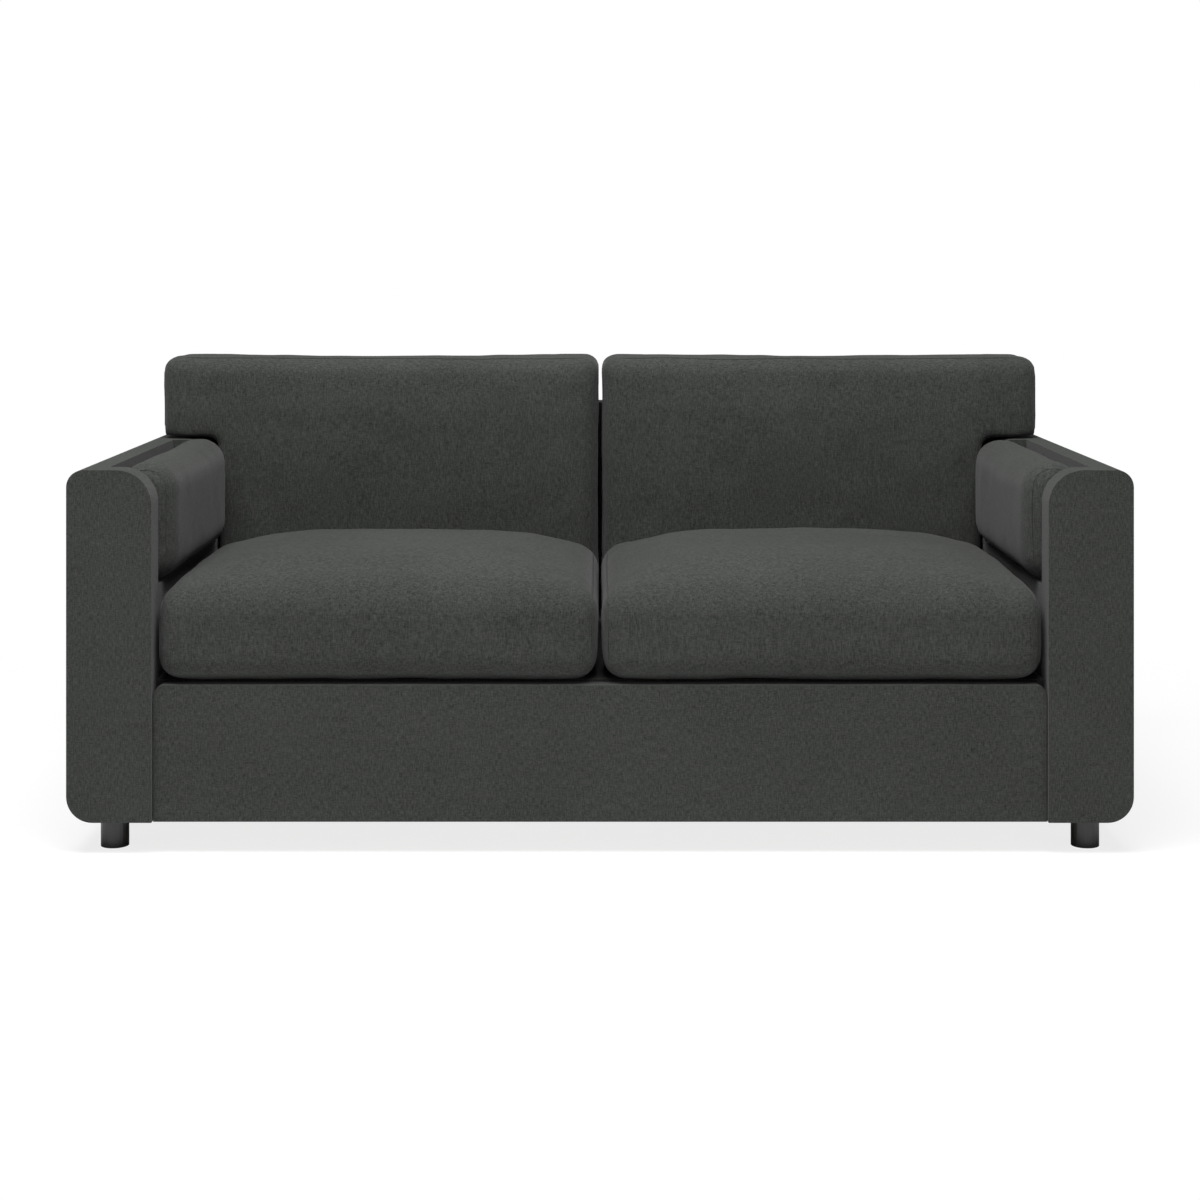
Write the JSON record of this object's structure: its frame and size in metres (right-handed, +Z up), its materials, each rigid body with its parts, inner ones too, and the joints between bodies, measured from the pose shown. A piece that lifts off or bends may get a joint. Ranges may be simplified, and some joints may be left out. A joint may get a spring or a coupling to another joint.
{
  "type": "sleeper sofa",
  "caption": "Two-seat upholstered sofa with loose seat and back cushions, arm pillows, round feet and a bed that rolls out behind the front panel.",
  "frame": {"origin": "on the floor under the middle of the sofa", "axes": "+Z up, -Y towards the front, +X to the right as seen from the front"},
  "size_m": [1.88, 0.96, 0.8466],
  "materials": {
    "charcoal_fabric": "woven",
    "foot_black": "satin",
    "bare_wood": "planed",
    "zinc_steel": "zinc plated",
    "castor_rubber": "matt",
    "mattress_ticking": "woven"
  },
  "bodies": {
    "sofa": {"left_arm": "charcoal_fabric", "left_arm_post": "charcoal_fabric", "left_arm_rear": "charcoal_fabric", "right_arm": "charcoal_fabric", "right_arm_post": "charcoal_fabric", "right_arm_rear": "charcoal_fabric", "back_frame": "charcoal_fabric", "seat_platform": "charcoal_fabric", "left_cleat": "bare_wood", "right_cleat": "bare_wood", "front_beam": "charcoal_fabric", "left_runner": "zinc_steel", "right_runner": "zinc_steel", "front_left_foot": "foot_black", "front_right_foot": "foot_black", "rear_left_foot": "foot_black", "rear_right_foot": "foot_black"},
    "left_seat": {"left_seat_cushion": "charcoal_fabric", "left_arm_pillow": "charcoal_fabric"},
    "right_seat": {"right_seat_cushion": "charcoal_fabric", "right_arm_pillow": "charcoal_fabric"},
    "left_back": {"left_back_cushion": "charcoal_fabric"},
    "right_back": {"right_back_cushion": "charcoal_fabric"},
    "bed": {"bed_front_panel": "charcoal_fabric", "bed_left_rail": "bare_wood", "bed_right_rail": "bare_wood", "bed_rear_rail": "bare_wood", "mattress": "mattress_ticking", "bed_slat_1": "bare_wood", "bed_slat_2": "bare_wood", "bed_slat_3": "bare_wood", "bed_slat_4": "bare_wood", "bed_slat_5": "bare_wood", "bed_slat_6": "bare_wood", "bed_slat_7": "bare_wood", "bed_slat_8": "bare_wood", "front_left_castor_bracket": "zinc_steel", "front_right_castor_bracket": "zinc_steel", "rear_left_castor_bracket": "zinc_steel", "rear_right_castor_bracket": "zinc_steel", "front_left_castor_axle": "zinc_steel", "front_right_castor_axle": "zinc_steel", "rear_left_castor_axle": "zinc_steel", "rear_right_castor_axle": "zinc_steel"},
    "front_left_wheel": {"front_left_castor_wheel": "castor_rubber"},
    "front_right_wheel": {"front_right_castor_wheel": "castor_rubber"},
    "rear_left_wheel": {"rear_left_castor_wheel": "castor_rubber"},
    "rear_right_wheel": {"rear_right_castor_wheel": "castor_rubber"}
  },
  "joints": [
    {"name": "left_seat_lift", "type": "slide", "parent": "sofa", "child": "left_seat", "axis": [0, 0, 1], "range_m": [0, 0.25]},
    {"name": "right_seat_lift", "type": "slide", "parent": "sofa", "child": "right_seat", "axis": [0, 0, 1], "range_m": [0, 0.25]},
    {"name": "left_back_lift", "type": "slide", "parent": "sofa", "child": "left_back", "axis": [0, 0, 1], "range_m": [0, 0.25]},
    {"name": "right_back_lift", "type": "slide", "parent": "sofa", "child": "right_back", "axis": [0, 0, 1], "range_m": [0, 0.25]},
    {"name": "bed_pull_out", "type": "slide", "parent": "sofa", "child": "bed", "axis": [0, -1, 0], "range_m": [0, 0.72]},
    {"name": "front_left_roll", "type": "hinge", "parent": "bed", "child": "front_left_wheel", "pos_m": [-0.743, -0.2377, 0.024], "axis": [1, 0, 0], "range_deg": [0, 1725]},
    {"name": "front_right_roll", "type": "hinge", "parent": "bed", "child": "front_right_wheel", "pos_m": [0.743, -0.2377, 0.024], "axis": [1, 0, 0], "range_deg": [0, 1725]},
    {"name": "rear_left_roll", "type": "hinge", "parent": "bed", "child": "rear_left_wheel", "pos_m": [-0.743, 0.164, 0.024], "axis": [1, 0, 0], "range_deg": [0, 1725]},
    {"name": "rear_right_roll", "type": "hinge", "parent": "bed", "child": "rear_right_wheel", "pos_m": [0.743, 0.164, 0.024], "axis": [1, 0, 0], "range_deg": [0, 1725]}
  ],
  "couplings": [
    {"joint": "front_left_roll", "follows": "bed_pull_out", "rad_per_m": 41.667},
    {"joint": "front_right_roll", "follows": "bed_pull_out", "rad_per_m": 41.667},
    {"joint": "rear_left_roll", "follows": "bed_pull_out", "rad_per_m": 41.667},
    {"joint": "rear_right_roll", "follows": "bed_pull_out", "rad_per_m": 41.667}
  ]
}
